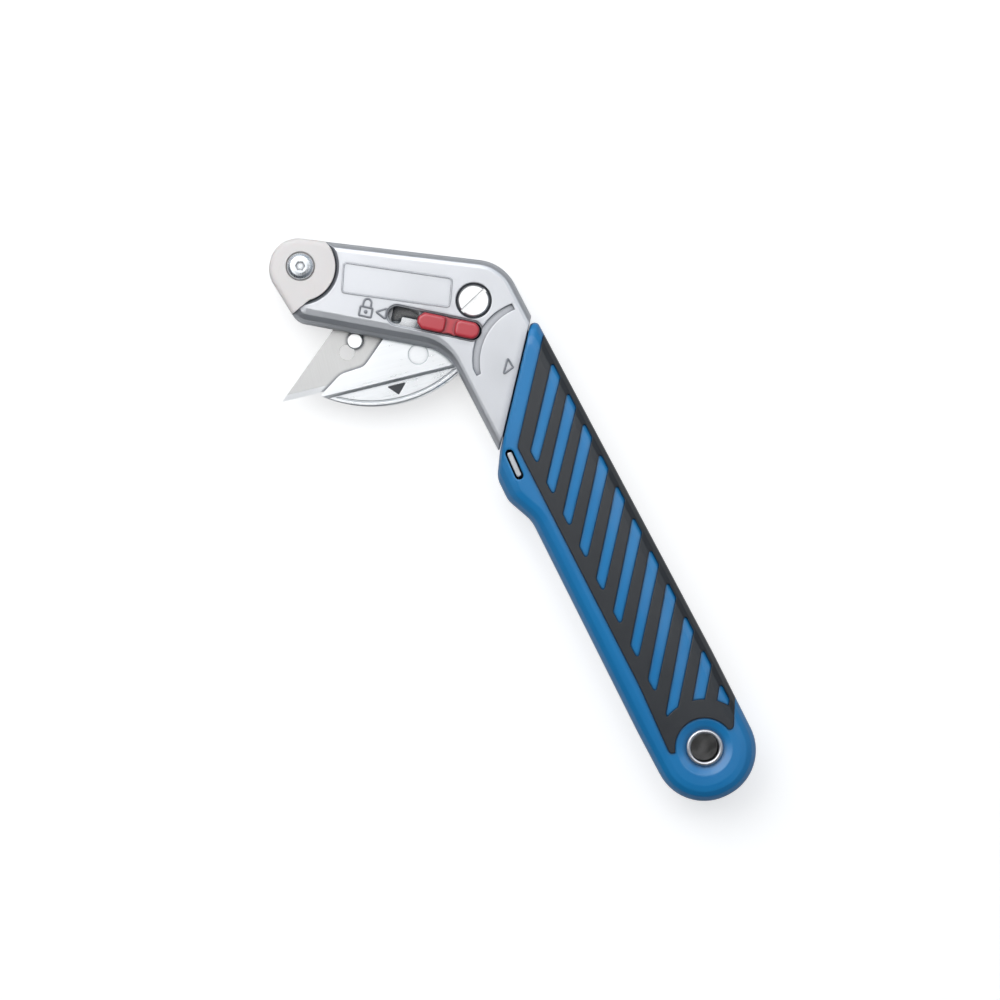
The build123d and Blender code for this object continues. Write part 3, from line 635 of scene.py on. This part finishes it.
def plasticFinish(name, look):
    # moulded plastic: slow waves in the surface, worn edges, painted shade in the creases
    moulded = mouldedPlastic
    material, tree, shader = newFinish(name, look)
    grain = placeGroup(tree, "grain", **moulded["grain"])
    wave = placeGroup(tree, "grain", **moulded["wave"])
    edge = placeGroup(tree, "softEdge", Radius=look["edgeRadius"], Breakup=moulded["breakup"])
    recess = placeGroup(tree, "recess", **moulded["recess"])
    scratch = placeGroup(tree, "scratches", **moulded["scratches"])
    colour = mixColour(tree, grain.outputs["Variation"], look["drift"], look["colour"])
    colour = tinted(tree, edge.outputs["Mask"], moulded["wear"], colour, look["edge"])
    # painted shade: darker in the creases, from ambient occlusion
    colour = tinted(tree, recess.outputs["Mask"], moulded["soot"], colour, look["creaseShade"])
    plug(tree, shader.inputs["Base Color"], colour)
    rough = spread(tree, wave.outputs["Variation"], *noiseRange, *look["roughness"])
    scratched = maths(tree, "MULTIPLY", scratch.outputs["Mask"], moulded["scratched"])
    plug(tree, shader.inputs["Roughness"], maths(tree, "ADD", rough, scratched))
    normal = bumped(tree, wave.outputs["Height"], moulded["waveBump"], edge.outputs["Normal"])
    if "crown" in look:
        normal = crowned(tree, look["crown"], normal)
    plug(tree, shader.inputs["Normal"], bumped(tree, grain.outputs["Height"], moulded["bump"], normal))
    return material


redLook = {
    "colour": (0.63, 0.04, 0.06, 1),
    "drift": (0.53, 0.028, 0.045, 1),
    "edge": (0.80, 0.16, 0.18, 1),
    "creaseShade": (0.07, 0.002, 0.006, 1),
    "roughness": (0.2, 0.34),
    "edgeRadius": 0.0004,
    "shader": {"Specular IOR Level": 0.6, "Coat Weight": 0.8, "Coat Roughness": 0.3},
}

rubberLook = {
    "colour": (0.014, 0.018, 0.024, 1),
    "drift": (0.009, 0.012, 0.017, 1),
    "dust": (0.034, 0.040, 0.048, 1),
    "creaseShade": (0.008, 0.008, 0.012, 1),
    "wear": 0.5,
    "soot": 0.8,
    "grain": {"Scale": 5200.0, "Drift": 45.0},
    "edges": {"Radius": 0.00045, "Breakup": 700.0},
    "recess": {"Distance": 0.0012},
    "roughness": (0.36, 0.5),
    "bump": (0.22, 0.00012),
    "crown": 0.06,
    "shader": {"Specular IOR Level": 0.72, "Sheen Weight": 0.03, "Sheen Roughness": 0.5},
}


def rubberFinish():
    look = rubberLook
    material, tree, shader = newFinish("gripRubber", look)
    grain = placeGroup(tree, "grain", **look["grain"])
    edge = placeGroup(tree, "softEdge", **look["edges"])
    recess = placeGroup(tree, "recess", **look["recess"])
    colour = mixColour(tree, grain.outputs["Variation"], look["drift"], look["colour"])
    colour = tinted(tree, edge.outputs["Mask"], look["wear"], colour, look["dust"])
    # painted shade: darker in the creases, from ambient occlusion
    colour = tinted(tree, recess.outputs["Mask"], look["soot"], colour, look["creaseShade"])
    plug(tree, shader.inputs["Base Color"], colour)
    rough = spread(tree, grain.outputs["Variation"], *noiseRange, *look["roughness"])
    plug(tree, shader.inputs["Roughness"], rough)
    normal = crowned(tree, look["crown"], edge.outputs["Normal"])
    plug(tree, shader.inputs["Normal"], bumped(tree, grain.outputs["Height"], look["bump"], normal))
    return material


inlayLook = {
    "colour": (0.060, 0.062, 0.070, 1),
    "drift": (0.040, 0.042, 0.048, 1),
    "edge": (0.20, 0.20, 0.22, 1),
    "creaseShade": (0.01, 0.01, 0.012, 1),
    "roughness": (0.4, 0.55),
    "edgeRadius": 0.0001,
    "shader": {"Specular IOR Level": 0.45},
}

finishes = {
    "die_cast": dieCastFinish("satinDieCast", dieCastLook),
    "guard_plastic": guardFinish(),
    "chrome": steelFinish("brightPlating", chromeLook),
    "steel": steelFinish("turnedSteel", turnedLook),
    "holder_steel": steelFinish("polishedHolderPlate", holderLook),
    "blade_steel": bladeFinish(),
    "blue_plastic": plasticFinish("blueHandlePlastic", blueLook),
    "black_rubber": rubberFinish(),
    "red_plastic": plasticFinish("redButtonPlastic", redLook),
}
inlayFinish = plasticFinish("darkInlay", inlayLook)
# painted shade: the cast marks are coloured darker to stand in for the shade along their raised outlines
markPaintedShade = dict(dieCastLook, colour=(0.30, 0.31, 0.33, 1), drift=(0.24, 0.25, 0.27, 1))
markPaintedShade["edge"] = (0.5, 0.51, 0.53, 1)
markFinish = dieCastFinish("markPaintedShade", markPaintedShade)

# pieces that differ from the rest of their slot
brightBolt = dict(turnedLook, colour=(0.97, 0.97, 0.96, 1), drift=(0.90, 0.90, 0.89, 1))
brightBolt.update(roughness=(0.34, 0.46), soot=0.25)
zincScrew = dict(chromeLook, colour=(0.66, 0.70, 0.73, 1), roughness=(0.2, 0.32))
nodeFinish = {
    "pivot_bolt": steelFinish("coinBoltSteel", brightBolt),
    "clip_button": steelFinish("clipButtonSteel", dict(brightBolt, soot=0.6)),
    "nose_screw": steelFinish("zincScrew", zincScrew),
}

for part in frame["record"]["subparts"]:
    node = frame["nodes"][part["node"]]
    node.data.materials.clear()
    node.data.materials.append(nodeFinish.get(part["node"], finishes[part["material_slot"]]))
print("finishes on all", len(frame["nodes"]), "nodes")


# marks cast into the head, in millimetres along and across the arm
headMarks = {
    "panel": [(39.0, -3.2, 1.0), (37.8, 5.4, 1.0), (6.4, 3.3, 1.0), (7.4, -5.0, 1.0)],
    "panelWidth": 0.4,
    "lineWidth": 0.5,
    "proud": 0.24,  # over the head's face
    "sunk": 0.25,  # into it
    "lockArrow": [(24.0, 7.3, 0.2), (27.0, 8.9, 0.2), (24.0, 10.4, 0.2)],
    "padlock": (29.9, 9.5),
    "padlockHalf": (1.8, 1.35),
    "padlockCorner": 0.3,
    "shackle": (1.15, 1.3),  # radius, length of its legs
    "shackleFoot": 0.1,  # where its legs end, from the middle of the case's line
    "shackleSteps": 12,
    "keyhole": (0.5, 0.35, 0.1),  # radius, radius at the top, height of the chamfer
    "handleArrow": [(127.0, -1.3, 0.2), (123.4, 1.9, 0.2), (123.9, -1.5, 0.2)],  # on the handle's axes
}


def markHeights():
    return knifePlan["headFace"] - headMarks["sunk"], knifePlan["headFace"] + headMarks["proud"]


def buildPanelFrame(work):
    ribbon(work, roundedLoop(headMarks["panel"]), onArm, headMarks["panelWidth"], *markHeights())


def buildHeadMarks(work):
    look = headMarks
    foot, top = markHeights()
    ribbon(work, roundedLoop(look["lockArrow"], 3), onArm, look["lineWidth"], foot, top)
    ribbon(work, roundedLoop(look["handleArrow"], 3), onHandle, look["lineWidth"], foot, top)
    u, v = look["padlock"]
    halfU, halfV = look["padlockHalf"]
    sides = [(-1, -1), (1, -1), (1, 1), (-1, 1)]
    case = [(u + x * halfU, v + y * halfV, look["padlockCorner"]) for x, y in sides]
    ribbon(work, roundedLoop(case, 3), onArm, look["lineWidth"], foot, top)
    reach, leg = look["shackle"]
    shoulder = v - halfV  # the side of the case that the shackle stands on
    bow = [Vector((u + reach, shoulder - look["shackleFoot"]))]
    for step in range(look["shackleSteps"] + 1):
        angle = math.pi * step / look["shackleSteps"]
        bow.append(Vector((u + reach * math.cos(angle), shoulder - leg - reach * math.sin(angle))))
    bow.append(Vector((u - reach, shoulder - look["shackleFoot"])))
    ribbon(work, bow, onArm, look["lineWidth"], foot, top, closed=False)
    wide, narrow, chamfer = look["keyhole"]
    keyhole = lathe(work, onArm(u, v), [(wide, foot), (wide, top - chamfer), (narrow, top)], 16)
    bridgeRings(work, keyhole, False)
    work.faces.new(keyhole[0])
    work.faces.new(keyhole[-1])


meshObject("panelFrame", buildPanelFrame, "frame", finishes["die_cast"])
meshObject("headMarks", buildHeadMarks, "frame", markFinish)

arrowInlay = {
    "corners": [(19.5, 29.4), (15.7, 30.9), (14.5, 27.1)],
    "sunk": 0.2,  # its foot, below the flange's face
    "top": 0.02,  # its face, just below the flange's
}


def buildArrowInlay(work):
    face = knifePlan["flangeFace"]
    corners = [Vector(corner) for corner in arrowInlay["corners"]]
    slab(work, corners, onArm, face - arrowInlay["sunk"], face - arrowInlay["top"])


meshObject("arrowInlay", buildArrowInlay, "holder", inlayFinish)
print("marks made")


# the wider face of the latch spring, in the slot of the finger stop
latchBar = {
    "corners": [(-3.8, -0.75, 0.6), (3.8, -0.75, 0.6), (3.8, 0.75, 0.6), (-3.8, 0.75, 0.6)],
    "turn": math.radians(-3.5),
    "low": 6.6,
    "high": 8.8,
}


def onLatch(along, across, z):
    spot = boxMiddle("latch_spring")
    spot.z = eyeletMiddle.z
    turned = Matrix.Rotation(latchBar["turn"], 2) @ Vector((along, across))
    return spot + Vector((*turned, z)) * mm


def buildLatchBar(work):
    slab(work, roundedLoop(latchBar["corners"]), onLatch, latchBar["low"], latchBar["high"])


springLook = dict(brightBolt, colour=(0.60, 0.61, 0.63, 1), drift=(0.52, 0.53, 0.55, 1))
springLook.update(soot=0.1, edgeRadius=0.0005, inside=(0.3, 0.31, 0.32, 1))
springSteel = steelFinish("springSteel", springLook)
meshObject("latchBar", buildLatchBar, "cover", springSteel)

# the eyelet with its lips rolled over, in millimetres, rounder than its CAD stand-in
rolledEyelet = {
    "bore": 4.05,
    "wall": 4.75,
    "flange": 5.35,
    "reach": 9.2,  # from the parting plane to the top of the lip
    "roll": 0.5,
    "rollSteps": 12,
    "lipBack": 8.5,  # height of the lip's inner side
    "lipTuck": 0.1,  # how much narrower the lip is there
}


def buildRolledEyelet(work):
    look = rolledEyelet
    profile = []
    middle = (look["bore"] + look["flange"]) / 2
    half = (look["flange"] - look["bore"]) / 2
    for side in (1, -1):
        lip = []
        for step in range(look["rollSteps"] + 1):
            angle = math.pi * step / look["rollSteps"]
            height = look["reach"] - look["roll"] + look["roll"] * math.sin(angle)
            lip.append((middle - half * math.cos(angle), side * height))
        lip.append((look["flange"] - look["lipTuck"], side * look["lipBack"]))
        lip.append((look["wall"], side * look["lipBack"]))
        profile += lip if side > 0 else lip[::-1]
    bridgeRings(work, lathe(work, eyeletMiddle, profile), True)


eyeletLook = dict(turnedLook, colour=(0.66, 0.66, 0.69, 1), roughness=(0.3, 0.42), soot=0.2)
eyeletSteel = steelFinish("eyeletSteel", eyeletLook)
eyeletPiece = meshObject("rolledEyelet", buildRolledEyelet, "frame", eyeletSteel)
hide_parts("eyelet")
print("turned pieces made")


studio = {
    "floorSize": 8.0,
    "floorColour": (0.55, 0.55, 0.55, 1),
    "floorLift": 0.66,  # white that only the camera sees
    # the floor's painted contact shadow: how near the object it reaches, and where the white fades back
    # in
    "paintedShadowReach": 0.012,  # how near the object holds that white back
    "paintedShadowFade": (0.15, 0.36),  # how open the floor is where its white starts and is full
    "sky": [(0.0, 0.05), (0.35, 0.3), (0.7, 0.7), (0.9, 0.25), (1.0, 0.1)],  # height, brightness
    "skySides": (0.1, 1.3),  # lower left, upper right
    "skyLean": 0.45,  # how far the bright side lies to the right of straight up
    "skyTint": (0.90, 0.99, 1.10, 1),
    "viewWidth": 0.290,
    "viewCentre": (0.00555, -0.0043),
    "viewUp": (0.8886, -0.4586),  # the direction that points up in the view
    "distance": 2.6,
    "sensor": 36.0,
    "farthest": 20.0,
}
lamps = [
    # name, to the right, up the view, height, size, watts
    ("softbox", -0.21, 0.20, 0.45, 0.5, 1.45),
    ("overhead", -0.2, 0.95, 1.5, 1.5, 6.5),
    ("fill", 1.0, 0.6, 1.2, 0.6, 1.0),
    ("strip", 0.14, 0.05, 0.45, 0.12, 0.12),
]


def viewAxes():
    up = Vector((*studio["viewUp"], 0)).normalized()
    return Vector((up.y, -up.x, 0)), up


def whiteToCamera(tree, surface, strength, output):
    # adds plain white that only the camera sees; ambient occlusion holds it back where the object covers
    # the floor, a painted contact shadow
    cover = addNode(tree, "ShaderNodeAmbientOcclusion", samples=8)
    cover.inputs["Distance"].default_value = studio["paintedShadowReach"]
    shown = spread(tree, cover.outputs["AO"], *studio["paintedShadowFade"], 0.0, strength)
    light = addNode(tree, "ShaderNodeLightPath")
    seen = maths(tree, "MAXIMUM", light.outputs["Is Camera Ray"], light.outputs["Is Transmission Ray"])
    glow = addNode(tree, "ShaderNodeEmission")
    plug(tree, glow.inputs["Strength"], maths(tree, "MULTIPLY", seen, shown))
    both = addNode(tree, "ShaderNodeAddShader")
    plug(tree, both.inputs[0], surface)
    plug(tree, both.inputs[1], glow.outputs[0])
    tree.links.new(both.outputs[0], output)


def buildFloor():
    half = studio["floorSize"] / 2
    mesh = bpy.data.meshes.new("floor")
    level = cadBox[0].z
    corners = [(-half, -half, level), (half, -half, level), (half, half, level), (-half, half, level)]
    mesh.from_pydata(corners, [], [(0, 1, 2, 3)])
    floor = bpy.data.objects.new("floor", mesh)
    bpy.context.scene.collection.objects.link(floor)
    material = bpy.data.materials.new("paperFloor")
    material.use_nodes = True
    tree = material.node_tree
    tree.nodes.remove(tree.nodes["Principled BSDF"])
    paper = addNode(tree, "ShaderNodeBsdfDiffuse")
    paper.inputs["Color"].default_value = studio["floorColour"]
    output = tree.nodes["Material Output"].inputs["Surface"]
    whiteToCamera(tree, paper.outputs[0], studio["floorLift"], output)
    mesh.materials.append(material)


def buildWorld():
    world = bpy.data.worlds.new("softRoom")
    bpy.context.scene.world = world
    world.use_nodes = True
    tree = world.node_tree
    sky = tree.nodes["Background"]
    place = addNode(tree, "ShaderNodeTexCoord")
    split = addNode(tree, "ShaderNodeSeparateXYZ")
    plug(tree, split.inputs[0], place.outputs["Generated"])
    ramp = addNode(tree, "ShaderNodeValToRGB")
    stops = ramp.color_ramp.elements
    while len(stops) < len(studio["sky"]):
        stops.new(0.5)
    for stop, (rise, level) in zip(stops, studio["sky"]):
        stop.position = rise
        stop.color = (level, level, level, 1)
    plug(tree, ramp.inputs["Fac"], split.outputs["Z"])
    lean = addNode(tree, "ShaderNodeVectorMath", operation="DOT_PRODUCT")
    plug(tree, lean.inputs[0], place.outputs["Generated"])
    right, up = viewAxes()
    lean.inputs[1].default_value = (right * studio["skyLean"] + up).normalized()
    side = spread(tree, lean.outputs["Value"], -1.0, 1.0, *studio["skySides"])
    isCamera = addNode(tree, "ShaderNodeLightPath").outputs["Is Camera Ray"]
    glow = maths(tree, "MULTIPLY", ramp.outputs["Color"], side)
    plug(tree, sky.inputs["Strength"], maths(tree, "MAXIMUM", glow, isCamera))
    white = (1, 1, 1, 1)
    plug(tree, sky.inputs["Color"], mixColour(tree, isCamera, studio["skyTint"], white))


def buildLamps():
    right, up = viewAxes()
    middle = Vector((*studio["viewCentre"], 0))
    for name, across, along, height, size, watts in lamps:
        light = bpy.data.lights.new(name, "AREA")
        light.size = size
        light.energy = watts
        lamp = bpy.data.objects.new(name, light)
        lamp.location = middle + right * across + up * along + Vector((0, 0, height))
        lamp.rotation_euler = (middle - lamp.location).to_track_quat("-Z", "Y").to_euler()
        lamp.visible_camera = False
        bpy.context.scene.collection.objects.link(lamp)


def buildCamera():
    right, up = viewAxes()
    lens = bpy.data.cameras.new("overheadCamera")
    lens.sensor_width = studio["sensor"]
    lens.lens = studio["sensor"] * studio["distance"] / studio["viewWidth"]
    lens.clip_end = studio["farthest"]
    camera = bpy.data.objects.new("overheadCamera", lens)
    back = right.cross(up)
    turn = Matrix((right, up, back)).transposed()
    place = Vector((*studio["viewCentre"], eyeletMiddle.z)) + back * studio["distance"]
    camera.matrix_world = Matrix.Translation(place) @ turn.to_4x4()
    bpy.context.scene.collection.objects.link(camera)
    bpy.context.scene.camera = camera


buildFloor()
buildWorld()
buildLamps()
buildCamera()
bpy.context.scene.view_settings.view_transform = "Standard"
print("floor, light and camera set")
